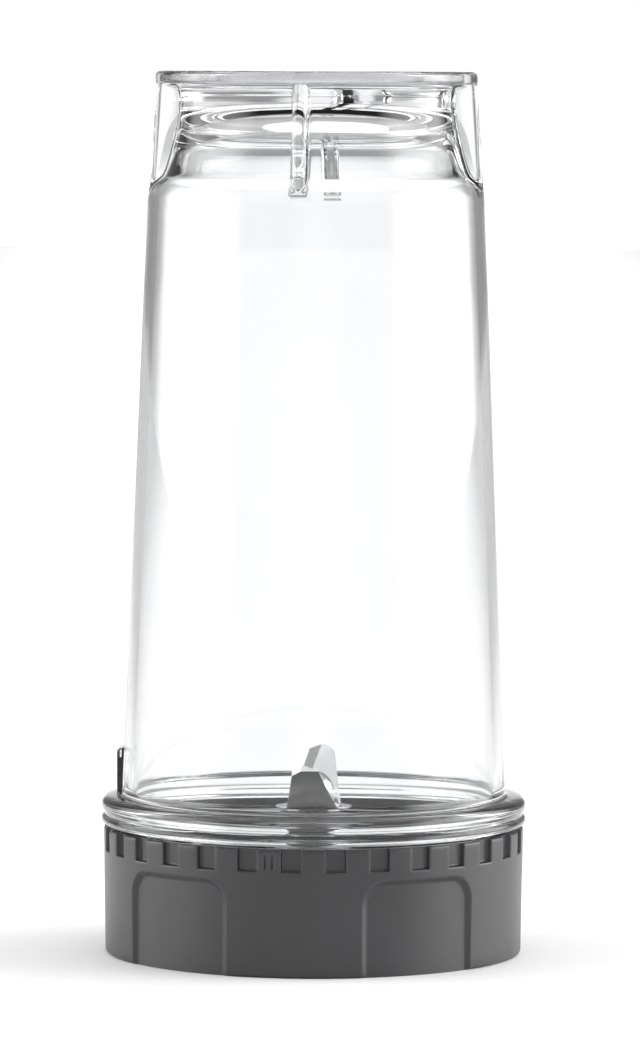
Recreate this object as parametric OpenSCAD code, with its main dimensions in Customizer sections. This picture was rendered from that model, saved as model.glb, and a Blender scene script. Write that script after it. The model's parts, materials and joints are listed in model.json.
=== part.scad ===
// Blender cup standing mouth-down on its screwed-on blade base.
// The origin is the centre of the face the base stands on. +Z is up, sizes are millimetres.
// Angles are measured anticlockwise from +X, seen from above; the front of the object faces -Y.

/* [Cup] */
// Overall height, from the standing face to the closed end
total_h = 207; // [195:0.5:225]
// Outer radius of the cup wall just above its flange
cup_r_low = 45.2; // [44:0.1:46]
// Outer radius of the cup wall at the top of its long taper
cup_r_high = 39.4; // [38:0.1:41]
// Outer radius of the foot disc that closes the cup
foot_r = 37.6; // [36:0.1:38.5]
// Wall thickness of the cup
cup_wall = 2.3; // [1.8:0.1:2.6]

/* [Closed end] */
// Thickness of the foot disc at its rim
foot_h = 3; // [2:0.5:5]
// Length of the necked stretch between the foot disc and the long taper
waist_h = 26; // [20:1:32]
// Smallest outer radius of that neck
waist_r = 31.8; // [30:0.1:34]
// Number of fins that carry the foot disc
fin_count = 4; // [3:1:6]
// Thickness of a fin
fin_t = 3.4; // [2:0.1:5]
// Direction of the first fin
fin_phase = -6; // [-45:1:45]
// Depth of the recess in the end face
end_recess = 3.4; // [1:0.2:4]

/* [Neck and thread] */
// Outer radius of the threaded neck, without its thread
neck_r = 44.8; // [44:0.1:45]
// Height of the cup's rim above the standing face
rim_z = 20; // [19:0.5:21]
// Outer radius of the flange ring
flange_r = 50; // [49:0.1:51]
// Height of the flange ring
flange_h = 6.8; // [5:0.1:8]
// Gap between the flange ring and the collar
flange_gap = 0.6; // [0.3:0.1:1]
// Number of thread starts
thread_starts = 3; // [2:1:4]
// Rise of the thread in one full turn
thread_lead = 12; // [9:1:16]
// Number of ridges in each of the cup's thread starts
cup_ridge_count = 3; // [1:1:3]
// Number of ridges in each of the collar's thread starts
collar_ridge_count = 2; // [1:1:2]
// Angle that each ridge covers
ridge_sweep = 60; // [30:1:62]
// How far the seating lug stands proud of the cup wall
lug_proud = 1.4; // [1:0.1:2]
// Width of the seating lug
lug_w = 8; // [5:0.5:12]
// Height of the seating lug above the flange ring
lug_h = 11; // [8:0.5:14]

/* [Collar] */
// Height of the collar
collar_h = 29.7; // [28:0.1:31]
// Outer radius of the collar at its foot
collar_r_foot = 49; // [48.5:0.1:49.5]
// Outer radius of the collar at its top
collar_r_top = 49.4; // [49:0.1:49.8]
// Radius of the collar's threaded bore, without its thread
collar_bore_r = 46.9; // [46.8:0.05:47.1]
// Inner radius of the open skirt under the ledge
skirt_r = 45.4; // [44.5:0.1:45.8]
// Height of the underside of the ledge that carries the blade unit
ledge_z = 13; // [12:0.1:13.2]
// Inner radius of the ledge
ledge_r = 39.5; // [38.5:0.1:40.5]

/* [Grip details] */
// Number of grip slots round the collar's top
slot_count = 30; // [20:1:40]
// Width of a grip slot
slot_w = 4.5; // [3:0.1:5.5]
// Height of a grip slot
slot_h = 5.2; // [4:0.1:6]
// Depth of a grip slot
slot_d = 1.2; // [0.6:0.1:1.3]
// Number of arched panels round the skirt
panel_count = 5; // [3:1:6]
// Angle that each arched panel covers
panel_sweep = 34.4; // [25:0.2:40]
// Height of an arched panel
panel_h = 22; // [16:0.5:23]
// Depth of an arched panel
panel_d = 0.9; // [0.5:0.1:1.2]
// Radius of an arched panel's top corners
panel_corner = 5.5; // [2:0.5:10]
// Direction of the first arched panel
panel_phase = 12.6; // [0:0.2:72]

/* [Blade unit] */
// Thickness of the carrier's floor
floor_t = 2.6; // [2:0.1:3]
// Radius of the carrier's rim
carrier_r = 45.2; // [44.8:0.1:45.3]
// Radius of the drive shaft
shaft_r = 4; // [3:0.1:4.5]
// Radial running clearance of the shaft in its bushes
shaft_clearance = 0.04; // [0.02:0.01:0.08]
// Outer radius of the bearing housing's barrel
barrel_r = 9.5; // [9:0.1:10]
// Outer radius of the drive coupling
coupling_r = 13.5; // [12:0.5:15]
// Number of lobes in the drive coupling's socket
lobe_count = 8; // [6:1:12]

/* [Blades] */
// Thickness of the blade sheet
blade_t = 1.5; // [1:0.1:2]
// Length of an upper blade wing from its bend
upper_wing = 22; // [18:0.5:24]
// Upward bend of the upper blade wings
upper_bend = 38; // [20:1:45]
// Length of a lower blade wing from its bend
lower_wing = 21; // [18:0.5:24]
// Downward bend of the lower blade wings
lower_bend = 10; // [0:1:14]

/* [Hidden] */

$fn = 128;

// Cup heights, from the flange ring up
flange_z = collar_h + flange_gap;
taper_z = flange_z + flange_h;
foot_z = total_h - foot_h;
shoulder_z = foot_z - waist_h;
ceiling_z = total_h - end_recess - 4.2;
neck_bore_r = neck_r - cup_wall - 0.1;

// Thread section: the ridge's root is sunk in its wall, and its crest stands clear of the
// opposite wall. All ridges share one lead, so the cup screws out without touching.
ridge_pitch = 66;
ridge_root_w = 1.7;
ridge_crest_w = 0.9;
ridge_sink = 0.5;
cup_crest_r = neck_r + 1.5;
collar_crest_r = collar_bore_r - 1.4;
cup_thread_z = rim_z + 2.6;
thread_offset = 1.4;

// Blade unit heights, from the ledge up
ledge_t = 2.5;
floor_z = ledge_z + ledge_t;
floor_top = floor_z + floor_t;
barrel_z = 11;
flange_seal_t = 0.8;
housing_flange_t = 2.2;
housing_top = 27;
bush_r = 7;
lower_bush_top = 17;
upper_bush_z = 18.6;
upper_bush_top = 23.6;
seal_pocket_r = 8.4;
seal_top = 26.4;
flange_outer_r = 15;

// Rotor heights, from the coupling up
coupling_z = 2.5;
coupling_h = 6.7;
socket_top = 7.4;
shaft_foot_z = 10.2;
stub_r = 3;
insert_af = 11;
washer_gap = 0.1;
lower_washer_t = 0.7;
upper_washer_t = 1;
upper_washer_r = 7.4;
blade_seat_z = housing_top + washer_gap + upper_washer_t;
spacer_t = 2;
upper_blade_z = blade_seat_z + blade_t + spacer_t;
lock_z = upper_blade_z + blade_t;
lock_t = 0.8;
nut_z = lock_z + lock_t;
nut_h = 4;
nut_af = 10;
thread_tip_r = 2.5;
shaft_top = nut_z + 4.7;
flat_af = 5.6;
fit_gap = 0.02;
blade_fit = 0.05;
hub_r = 9;
bend_r = 8.2;

// A solid of revolution about Z, from an outline of [radius, height] points
module lathe(points) {
  rotate_extrude()
    polygon(points);
}

// A washer or sleeve
module sleeve(r_out, r_in, z0, z1) {
  difference() {
    translate([0, 0, z0])
      cylinder(r = r_out, h = z1 - z0);
    translate([0, 0, z0 - 1])
      cylinder(r = r_in, h = z1 - z0 + 2);
  }
}

// A regular hexagonal prism, af across its flats
module hex_bar(af, z0, z1) {
  translate([0, 0, z0])
    cylinder(r = af / 2 / cos(30), h = z1 - z0, $fn = 6);
}

// The points of a quarter arc round [cr, cz], from angle a0 to a1
function arc(cr, cz, r, a0, a1, n = 4) =
  [for (i = [0:n]) [cr + r * cos(a0 + (a1 - a0) * i / n), cz + r * sin(a0 + (a1 - a0) * i / n)]];

// One stretch of a vented thread: a ridge of trapezoid section, centred on direction a and
// tilted to the thread's slope. Its root is sunk in its wall.
module ridge(root_r, crest_r, a, z) {
  slope = atan2(thread_lead, PI * (root_r + crest_r));
  translate([0, 0, z])
    rotate([0, 0, a])
      rotate([slope, 0, 0])
        rotate([0, 0, -ridge_sweep / 2])
          rotate_extrude(angle = ridge_sweep)
            polygon([
              [root_r, -ridge_root_w / 2],
              [crest_r, -ridge_crest_w / 2],
              [crest_r, ridge_crest_w / 2],
              [root_r, ridge_root_w / 2]
            ]);
}

// Every thread start is a chain of ridges with vents between them, climbing from height z0
module thread_ridges(root_r, crest_r, z0, count) {
  for (k = [0:thread_starts - 1], i = [0:count - 1])
    ridge(root_r, crest_r, k * 360 / thread_starts + i * ridge_pitch,
      z0 + thread_lead * i * ridge_pitch / 360);
}

// ---- collar ----

// The arched outline of one panel: two round top corners, open at the foot
module panel_outline() {
  half = collar_r_foot * sin(panel_sweep / 2);
  polygon(concat(
    [[-half, -1], [half, -1]],
    arc(half - panel_corner, panel_h - panel_corner, panel_corner, 0, 90, 6),
    arc(panel_corner - half, panel_h - panel_corner, panel_corner, 90, 180, 6)));
}

module panel_cut(direction) {
  rotate([0, 0, direction])
    difference() {
      translate([collar_r_foot - 6, 0, 0])
        rotate([90, 0, 90])
          linear_extrude(height = 12)
            panel_outline();
      translate([0, 0, -2])
        cylinder(r = collar_r_foot - panel_d, h = panel_h + 4);
    }
}

// One grip slot: a sector of a ring, open at the collar's top
module slot_cut(direction) {
  slot_sweep = 2 * asin(slot_w / 2 / collar_r_top);
  rotate([0, 0, direction - slot_sweep / 2])
    rotate_extrude(angle = slot_sweep)
      translate([collar_r_top - slot_d, collar_h - slot_h])
        square([slot_d + 3, slot_h + 2]);
}

// Threaded ring nut and standing skirt in one moulding, with a ledge under the blade unit
module collar() {
  foot_round = 1;
  bore_lead = 0.5;
  color([0.42, 0.42, 0.43]) {
    difference() {
      lathe(concat(
        [[skirt_r + 0.5, 0]],
        arc(collar_r_foot - foot_round, foot_round, foot_round, -90, 0),
        [
          [collar_r_top, collar_h - bore_lead],
          [collar_r_top - bore_lead, collar_h],
          [collar_bore_r + bore_lead, collar_h],
          [collar_bore_r, collar_h - bore_lead],
          [collar_bore_r, floor_z],
          [ledge_r, floor_z],
          [ledge_r, ledge_z],
          [skirt_r, ledge_z],
          [skirt_r, 0.5]
        ]));
      for (k = [0:slot_count - 1])
        slot_cut(k * 360 / slot_count);
      for (k = [0:panel_count - 1])
        panel_cut(panel_phase + k * 360 / panel_count);
    }
    thread_ridges(collar_bore_r + ridge_sink, collar_crest_r, cup_thread_z + thread_offset,
      collar_ridge_count);
  }
}

// ---- blade unit: the pieces that stay with the carrier ----

// Dished floor of the cup: a flange clamped by the collar, an upstand that centres the gasket,
// a spigot in the ledge and radial ribs underneath
module blade_carrier() {
  spigot_r = ledge_r - 0.3;
  upstand_r = 41.3;
  upstand_h = 2.9;
  wall = 1.8;
  rib_count = 8;
  rib_t = 1.6;
  rib_z = 12.2;
  color([0.25, 0.25, 0.26]) {
    lathe([
      [barrel_r + 0.1, floor_z],
      [spigot_r - wall, floor_z],
      [spigot_r - wall, ledge_z + 0.2],
      [spigot_r, ledge_z + 0.2],
      [spigot_r, floor_z],
      [carrier_r, floor_z],
      [carrier_r, floor_top],
      [upstand_r, floor_top],
      [upstand_r, floor_top + upstand_h - 0.5],
      [upstand_r - 0.5, floor_top + upstand_h],
      [upstand_r - wall + 0.4, floor_top + upstand_h],
      [upstand_r - wall - 0.6, floor_top],
      [barrel_r + 0.1, floor_top]
    ]);
    for (k = [0:rib_count - 1])
      rotate([0, 0, (k + 0.5) * 360 / rib_count])
        translate([flange_outer_r + 2, -rib_t / 2, rib_z])
          cube([spigot_r - wall / 2 - flange_outer_r - 2, rib_t, floor_z - rib_z + 0.5]);
  }
}

// Flat silicone ring under the cup's rim, with a bevelled outer edge
module cup_gasket() {
  inner_r = 41.4;
  outer_r = carrier_r - 0.2;
  color([0.85, 0.85, 0.84])
    lathe([
      [inner_r, floor_top],
      [outer_r, floor_top],
      [outer_r, floor_top + 0.9],
      [outer_r - 0.8, rim_z],
      [inner_r, rim_z]
    ]);
}

module housing_seal() {
  color([0.12, 0.12, 0.12])
    sleeve(flange_outer_r - 0.8, barrel_r + 0.1, floor_top, floor_top + flange_seal_t);
}

// Flanged barrel that holds both bushes and the shaft seal
module bearing_housing() {
  flange_z0 = floor_top + flange_seal_t;
  flange_z1 = flange_z0 + housing_flange_t;
  shoulder_r = 5;
  cap_r = 11;
  color([0.72, 0.72, 0.74])
    lathe([
      [bush_r, barrel_z],
      [barrel_r, barrel_z],
      [barrel_r, flange_z0],
      [flange_outer_r, flange_z0],
      [flange_outer_r, flange_z1 - 0.6],
      [flange_outer_r - 0.6, flange_z1],
      [cap_r + 1.2, flange_z1],
      [cap_r, flange_z1 + 1.2],
      [cap_r, housing_top - 1],
      [cap_r - 1, housing_top],
      [seal_pocket_r, housing_top],
      [seal_pocket_r, upper_bush_top],
      [bush_r, upper_bush_top],
      [bush_r, upper_bush_z],
      [shoulder_r, upper_bush_z],
      [shoulder_r, lower_bush_top],
      [bush_r, lower_bush_top]
    ]);
}

// Hexagonal nut that clamps the housing to the carrier's floor from below
module housing_nut() {
  af = 26;
  color([0.72, 0.72, 0.74])
    difference() {
      hex_bar(af, barrel_z + 0.6, floor_z);
      translate([0, 0, barrel_z])
        cylinder(r = barrel_r + fit_gap, h = floor_z - barrel_z + 1);
    }
}

module bush(z0, z1) {
  color([0.65, 0.45, 0.22])
    sleeve(bush_r - fit_gap, shaft_r + shaft_clearance, z0, z1);
}

module lower_bush() {
  bush(barrel_z + 0.2, lower_bush_top);
}

module upper_bush() {
  bush(upper_bush_z, upper_bush_top);
}

module shaft_seal() {
  color([0.1, 0.1, 0.1])
    sleeve(seal_pocket_r - fit_gap, shaft_r + 0.05, upper_bush_top, seal_top);
}

// Thin metal ring pressed in over the seal
module seal_retainer() {
  color([0.75, 0.75, 0.77])
    sleeve(seal_pocket_r - fit_gap, shaft_r + 0.6, seal_top, housing_top);
}

// ---- rotor: everything that turns with the shaft ----

// Stepped shaft: a threaded stub below, the journal, two flats for the blades, a threaded tip
module drive_shaft() {
  color([0.7, 0.7, 0.72]) {
    translate([0, 0, socket_top + 0.2])
      cylinder(r = stub_r, h = shaft_foot_z - socket_top - 0.2);
    translate([0, 0, shaft_foot_z])
      cylinder(r = shaft_r, h = blade_seat_z - shaft_foot_z);
    intersection() {
      translate([0, 0, blade_seat_z])
        cylinder(r = shaft_r, h = lock_z - blade_seat_z);
      translate([-shaft_r - 1, -flat_af / 2, blade_seat_z - 1])
        cube([2 * shaft_r + 2, flat_af, lock_z - blade_seat_z + 2]);
    }
    translate([0, 0, lock_z])
      cylinder(r = thread_tip_r, h = shaft_top - lock_z);
  }
}

// Moulded drive coupling with a lobed socket that opens downwards
module drive_coupling() {
  socket_r = 6.2;
  lobe_r = 1.7;
  lobe_pitch_r = 7.3;
  color([0.12, 0.12, 0.13])
    difference() {
      lathe([
        [0, coupling_z],
        [coupling_r - 0.8, coupling_z],
        [coupling_r, coupling_z + 0.8],
        [coupling_r, coupling_z + coupling_h - 1.5],
        [coupling_r - 1.5, coupling_z + coupling_h],
        [0, coupling_z + coupling_h]
      ]);
      translate([0, 0, coupling_z - 1])
        linear_extrude(height = socket_top - coupling_z + 1) {
          circle(r = socket_r);
          for (k = [0:lobe_count - 1])
            rotate(k * 360 / lobe_count)
              translate([lobe_pitch_r, 0])
                circle(r = lobe_r);
        }
      hex_bar(insert_af, socket_top - 0.5, coupling_z + coupling_h + 1);
    }
}

// Steel hexagon moulded into the coupling and screwed on to the shaft's stub
module coupling_insert() {
  color([0.7, 0.7, 0.72])
    difference() {
      hex_bar(insert_af - 2 * fit_gap, socket_top, shaft_foot_z);
      translate([0, 0, socket_top - 1])
        cylinder(r = stub_r + fit_gap, h = shaft_foot_z - socket_top + 2);
    }
}

module lower_thrust_washer() {
  color([0.75, 0.75, 0.77])
    sleeve(bush_r - 0.2, shaft_r + fit_gap, shaft_foot_z, shaft_foot_z + lower_washer_t);
}

module upper_thrust_washer() {
  color([0.75, 0.75, 0.77])
    sleeve(upper_washer_r, shaft_r + fit_gap, blade_seat_z - upper_washer_t, blade_seat_z);
}

// One flat wing along +X: tapered, with a knife bevel along its leading edge
module wing(length) {
  root_w = 13;
  tip_w = 6;
  sweep_back = 2;
  bevel_w = 3;
  root_edge = root_w / 2;
  tip_edge = tip_w / 2 - sweep_back;
  edge_angle = atan2(tip_edge - root_edge, length);
  difference() {
    linear_extrude(height = blade_t)
      polygon([
        [0, -root_edge],
        [length - 2, -tip_w / 2 - sweep_back],
        [length, -tip_w / 2 - sweep_back + 2],
        [length, tip_edge],
        [0, root_edge]
      ]);
    translate([0, root_edge, 0])
      rotate([0, 0, edge_angle])
        rotate([-atan2(blade_t, bevel_w), 0, 0])
          translate([-6, -8, 0.12])
            cube([length + 12, 12, 6]);
  }
}

// A two-winged blade stamped from sheet. It is turned about the shaft, and its hole is turned
// back on to the shaft's flats.
module blade(z, length, bend, turn) {
  translate([0, 0, z])
    difference() {
      rotate([0, 0, turn]) {
        cylinder(r = hub_r, h = blade_t);
        for (side = [0, 180])
          rotate([0, 0, side])
            translate([bend_r - 0.4, 0, 0])
              rotate([0, -bend, 0])
                wing(length);
      }
      intersection() {
        translate([0, 0, -2])
          cylinder(r = shaft_r + blade_fit, h = blade_t + 4);
        translate([-shaft_r - 1, -flat_af / 2 - blade_fit, -2])
          cube([2 * shaft_r + 2, flat_af + 2 * blade_fit, blade_t + 4]);
      }
    }
}

module lower_blade() {
  color([0.78, 0.78, 0.8])
    blade(blade_seat_z, lower_wing, -lower_bend, 0);
}

module blade_spacer() {
  color([0.75, 0.75, 0.77])
    sleeve(7, shaft_r + fit_gap, blade_seat_z + blade_t, upper_blade_z);
}

module upper_blade() {
  color([0.78, 0.78, 0.8])
    blade(upper_blade_z, upper_wing, upper_bend, 90);
}

module lock_washer() {
  color([0.75, 0.75, 0.77])
    sleeve(6.5, thread_tip_r + fit_gap, lock_z, nut_z);
}

// Domed nut with a blind thread
module blade_nut() {
  dome_r = 4.7;
  color([0.78, 0.78, 0.8])
    difference() {
      union() {
        hex_bar(nut_af, nut_z, nut_z + nut_h);
        intersection() {
          translate([0, 0, nut_z + nut_h])
            sphere(r = dome_r);
          translate([0, 0, nut_z + 1])
            cylinder(r = dome_r + 1, h = nut_h + dome_r);
        }
      }
      translate([0, 0, nut_z - 1])
        cylinder(r = thread_tip_r + fit_gap, h = shaft_top - nut_z + 1.6);
    }
}

// ---- cup ----

// Outline of the flange ring: a lower bead, a shallow groove and a taller rounded bead
function flange_outline() = concat(
  [[neck_r, flange_z]],
  arc(flange_r - 1.3, flange_z + 1.3, 1.3, -90, 40),
  [[flange_r - 0.75, flange_z + 2.6]],
  arc(flange_r - 2, flange_z + 4.5, 1.9, -20, 70, 5),
  [[flange_r - 2.9, taper_z - 0.15], [cup_r_low + 0.5, taper_z], [cup_r_low, taper_z + 0.6]]);

// The waist: a round shoulder, a hollow flank, and a fillet under the foot disc
function waist_outline() = [
  [cup_r_high, shoulder_z - 0.5],
  [cup_r_high - 0.6, shoulder_z + 1.3],
  [cup_r_high - 2, shoulder_z + 2.9],
  [cup_r_high - 3.7, shoulder_z + 4.4],
  [waist_r + 2.7, shoulder_z + 7.6],
  [waist_r + 1.7, shoulder_z + 11.4],
  [waist_r + 0.8, shoulder_z + 15.4],
  [waist_r + 0.2, shoulder_z + 19.2],
  [waist_r, shoulder_z + 22.6],
  [waist_r + 0.3, foot_z - 1.2],
  [waist_r + 1, foot_z - 0.4],
  [waist_r + 2, foot_z]
];

// The foot disc, and the recess in its end face
function foot_outline() = concat(
  [[foot_r + 0.15, foot_z]],
  arc(foot_r - 1.2, total_h - 1.2, 1.2, 0, 90),
  arc(foot_r - 5.4, total_h - 0.8, 0.8, 90, 180, 3),
  [[foot_r - 7, total_h - end_recess + 0.8], [foot_r - 8.2, total_h - end_recess],
    [0, total_h - end_recess]]);

// The inside: a shallow dome, round corners and the long tapered wall down to the rim
function cavity_outline() = [
  [0, ceiling_z],
  [10, ceiling_z - 0.4],
  [18, ceiling_z - 1.6],
  [24, ceiling_z - 3.6],
  [28, ceiling_z - 6.4],
  [waist_r - 1.2, ceiling_z - 9.9],
  [waist_r + 0.2, shoulder_z + 8],
  [cup_r_high - 6, shoulder_z + 5],
  [cup_r_high - 4, shoulder_z + 2.3],
  [cup_r_high - cup_wall - 0.2, shoulder_z],
  [cup_r_high - cup_wall, shoulder_z - 2.5],
  [cup_r_low - cup_wall, taper_z],
  [neck_bore_r, flange_z - 0.5],
  [neck_bore_r, rim_z + 0.4],
  [neck_bore_r + 0.4, rim_z]
];

// Radial fins that fill the waist out to the cup's own taper
module fins() {
  bar = 2 * cup_r_high + 4;
  intersection() {
    lathe([
      [waist_r - 1.8, foot_z + 0.5],
      [waist_r - 1.6, shoulder_z + 14],
      [cup_r_high - 4.6, shoulder_z + 2],
      [cup_r_high - 1, shoulder_z - 2],
      [cup_r_high - 0.05, shoulder_z],
      [foot_r + 0.1, foot_z + 0.5]
    ]);
    for (k = [0:fin_count - 1])
      rotate([0, 0, fin_phase + k * 360 / fin_count])
        translate([0, -fin_t / 2, shoulder_z - 4])
          cube([bar / 2, fin_t, waist_h + 8]);
  }
}

// Seating lug beside the flange ring, with a rounded top
module lug() {
  outer_r = cup_r_low - 0.2 + lug_proud;
  top = taper_z + lug_h;
  intersection() {
    lathe([
      [cup_r_low - 1.4, taper_z - 1],
      [outer_r, taper_z - 1],
      [outer_r, top - 1.2],
      [outer_r - 0.4, top - 0.4],
      [outer_r - 1.2, top],
      [cup_r_low - 1.4, top]
    ]);
    translate([-60, -lug_w / 2, 0])
      cube([60, lug_w, top + 5]);
  }
}

module cup() {
  rim_round = 0.5;
  color([0.86, 0.88, 0.9, 0.35]) {
    lathe(concat(
      [[neck_r - rim_round, rim_z], [neck_r, rim_z + rim_round]],
      flange_outline(),
      waist_outline(),
      foot_outline(),
      cavity_outline()));
    fins();
    lug();
    thread_ridges(neck_r - ridge_sink, cup_crest_r, cup_thread_z, cup_ridge_count);
  }
}

collar();
blade_carrier();
cup_gasket();
housing_seal();
bearing_housing();
housing_nut();
lower_bush();
upper_bush();
shaft_seal();
seal_retainer();
drive_shaft();
drive_coupling();
coupling_insert();
lower_thrust_washer();
upper_thrust_washer();
lower_blade();
blade_spacer();
upper_blade();
lock_washer();
blade_nut();
cup();
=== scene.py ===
import json
import math

import bmesh
import bpy
from mathutils import Euler, Matrix, Vector

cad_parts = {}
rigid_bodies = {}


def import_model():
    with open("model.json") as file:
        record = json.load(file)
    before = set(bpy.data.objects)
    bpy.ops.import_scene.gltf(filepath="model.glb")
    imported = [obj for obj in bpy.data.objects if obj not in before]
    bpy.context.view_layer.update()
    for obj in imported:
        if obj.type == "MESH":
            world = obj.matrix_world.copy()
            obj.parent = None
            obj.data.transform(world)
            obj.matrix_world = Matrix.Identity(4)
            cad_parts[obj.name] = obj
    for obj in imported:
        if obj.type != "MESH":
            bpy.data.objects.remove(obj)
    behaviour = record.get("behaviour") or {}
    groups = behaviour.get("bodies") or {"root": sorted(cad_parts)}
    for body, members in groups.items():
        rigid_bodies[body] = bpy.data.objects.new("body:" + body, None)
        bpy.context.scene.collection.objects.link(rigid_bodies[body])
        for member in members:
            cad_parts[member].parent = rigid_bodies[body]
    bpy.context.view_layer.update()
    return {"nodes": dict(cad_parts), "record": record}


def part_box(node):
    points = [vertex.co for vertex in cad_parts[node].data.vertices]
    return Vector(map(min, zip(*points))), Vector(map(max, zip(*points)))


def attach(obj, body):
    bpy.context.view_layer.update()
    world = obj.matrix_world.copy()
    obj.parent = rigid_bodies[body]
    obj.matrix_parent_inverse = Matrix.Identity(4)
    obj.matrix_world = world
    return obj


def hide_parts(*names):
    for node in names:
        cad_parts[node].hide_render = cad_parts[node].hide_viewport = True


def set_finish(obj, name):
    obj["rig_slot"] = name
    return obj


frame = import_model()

MM = 0.001
TAU = 2 * math.pi

# ---------------------------------------------------------------------------
# Sizes, in millimetres, in the CAD frame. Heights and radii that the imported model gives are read
# from it; the rest are the object's own details.
# ---------------------------------------------------------------------------


def box_mm(node):
    """Lowest and highest corner of a CAD node, in millimetres."""
    low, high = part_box(node)
    return low / MM, high / MM


# Collar
COLLAR_H = box_mm("collar")[1].z
FOOT_R, TOP_R = 49.0, 49.4
FOOT_ROUND = 1.0
TOP_ROUND = 0.5
BORE_R, BORE_BEVEL = 46.9, 0.5
SKIRT_R = 45.4
LEDGE_R = 39.5
LEDGE_Z, FLOOR_Z = 13.0, 15.5
SLOT_COUNT = 30
SLOT_W, SLOT_H, SLOT_FLOOR_R = 4.5, 5.2, TOP_R - 1.2
PANEL_COUNT = 5
PANEL_PHASE = math.radians(12.6)
PANEL_HALF_W, PANEL_H, PANEL_CORNER = 14.49, 22.0, 5.5
PANEL_FLOOR_R = FOOT_R - 0.9
PANEL_MARGIN = 1.3  # from a panel's edge to the edge of the block of mesh that holds it

# The pair of short lines on one of the collar's teeth
MARK_AT = math.radians(258)
MARK_GAP, MARK_HALF_W, MARK_DEPTH = 0.8, 0.22, 0.3
MARK_SIDE, MARK_END = 0.08, 0.3  # half the width of its side walls, and the length of its ends
MARK_LOW, MARK_HIGH = 24.9, 28.5

# Cup
CUP_LOW, CUP_HIGH = box_mm("cup")
RIM_Z = CUP_LOW.z
TOTAL_H = CUP_HIGH.z
FLANGE_R = CUP_HIGH.x
NECK_R, NECK_BORE_R = 44.8, 42.4
FLANGE_Z, TAPER_Z = 30.3, 37.1
CUP_R_LOW, CUP_R_HIGH, CUP_WALL = 45.2, 39.4, 2.3
FOOT_DISC_R, FOOT_Z = 37.6, TOTAL_H - 3.0
SHOULDER_Z = FOOT_Z - 26.0
WAIST_R = 31.8
END_RECESS = 3.4
CEILING_Z = TOTAL_H - END_RECESS - 4.2
FIN_COUNT, FIN_PHASE, FIN_HALF_T = 4, math.radians(-6), 1.7
FIN_LOW_R, FIN_HIGH_R = CUP_R_HIGH - 0.05, FOOT_DISC_R + 0.1
FIN_GAP = 0.16  # from the top row of the fins to the foot disc
LUG_PROUD, LUG_HALF_W, LUG_TOP = 1.2, 4.0, TAPER_Z + 11.0

# Thread
THREAD_STARTS = 3
LEAD = 12.0
RIDGE_SWEEP, RIDGE_PITCH = math.radians(60), math.radians(66)
RIDGE_ROOT_W, RIDGE_CREST_W = 1.7, 0.9
RIDGE_STEPS = 24
CUP_THREAD_Z, THREAD_OFFSET, CUP_THREAD_H = RIM_Z + 2.6, 1.4, 1.5
CUP_RIDGES, COLLAR_RIDGES = 3, 2
NECK_STEP = 0.16  # between the rows of the cup's neck

# Edge round on the CAD pieces, which are welded first because they come split into patches
EDGE_ROUND, EDGE_ANGLE, WELD_DISTANCE = 0.12, math.radians(35), 0.001


# ---------------------------------------------------------------------------
# Mesh helpers
# ---------------------------------------------------------------------------


def polar(r, angle, z):
    """A point in metres from a radius and height in millimetres."""
    return (r * math.cos(angle) * MM, r * math.sin(angle) * MM, z * MM)


def signed(angle):
    """The same angle, from -pi to pi."""
    return (angle + math.pi) % TAU - math.pi


def ramp(points, x):
    """Straight-line interpolation through (x, y) points sorted by x, level outside them."""
    if x <= points[0][0]:
        return points[0][1]
    for (x0, y0), (x1, y1) in zip(points, points[1:]):
        if x <= x1:
            return y0 + (y1 - y0) * (x - x0) / (x1 - x0)
    return points[-1][1]


def arc(cr, cz, radius, a0, a1, steps=4):
    """Outline points round (cr, cz), from angle a0 to a1 in degrees."""
    angles = [math.radians(a0 + (a1 - a0) * i / steps) for i in range(steps + 1)]
    return [(cr + radius * math.cos(a), cz + radius * math.sin(a)) for a in angles]


def smooth(points, per_span=4):
    """Catmull-Rom curve through outline points, with per_span steps in each span."""
    padded = [points[0]] + list(points) + [points[-1]]
    out = []
    for p0, p1, p2, p3 in zip(padded, padded[1:], padded[2:], padded[3:]):
        for i in range(per_span):
            t = i / per_span
            out.append(tuple(
                0.5 * (2 * b + (c - a) * t + (2 * a - 5 * b + 4 * c - d) * t * t
                       + (3 * b - a - 3 * c + d) * t ** 3)
                for a, b, c, d in zip(p0, p1, p2, p3)))
    out.append(tuple(points[-1]))
    return out


def finish_mesh(name, verts, faces, sharp_deg=40, merge=1e-7):
    """Makes an object, welds its seams, turns its normals outwards and shades it smooth."""
    mesh = bpy.data.meshes.new(name)
    mesh.from_pydata(verts, [], faces)
    work = bmesh.new()
    work.from_mesh(mesh)
    bmesh.ops.remove_doubles(work, verts=work.verts, dist=merge)
    bmesh.ops.dissolve_degenerate(work, edges=work.edges, dist=merge)
    loose = [v for v in work.verts if not v.link_faces]
    bmesh.ops.delete(work, geom=loose, context="VERTS")
    bmesh.ops.recalc_face_normals(work, faces=work.faces)
    work.to_mesh(mesh)
    work.free()
    mesh.shade_smooth()
    mesh.set_sharp_from_angle(angle=math.radians(sharp_deg))
    piece = bpy.data.objects.new(name, mesh)
    bpy.context.scene.collection.objects.link(piece)
    return piece


def ring_faces(lower, upper):
    """Quads between two closed rings of vertex numbers."""
    n = len(lower)
    return [(lower[i], lower[(i + 1) % n], upper[(i + 1) % n], upper[i]) for i in range(n)]


class Builder:
    """Collects vertices and faces for one mesh."""

    def __init__(self):
        self.verts = []
        self.faces = []

    def ring(self, points):
        """Adds a row of vertices, and returns their numbers."""
        start = len(self.verts)
        self.verts += points
        return list(range(start, start + len(points)))

    def skin(self, rings):
        """Joins each closed ring to the next with quads."""
        for lower, upper in zip(rings, rings[1:]):
            self.faces += ring_faces(lower, upper)


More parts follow.
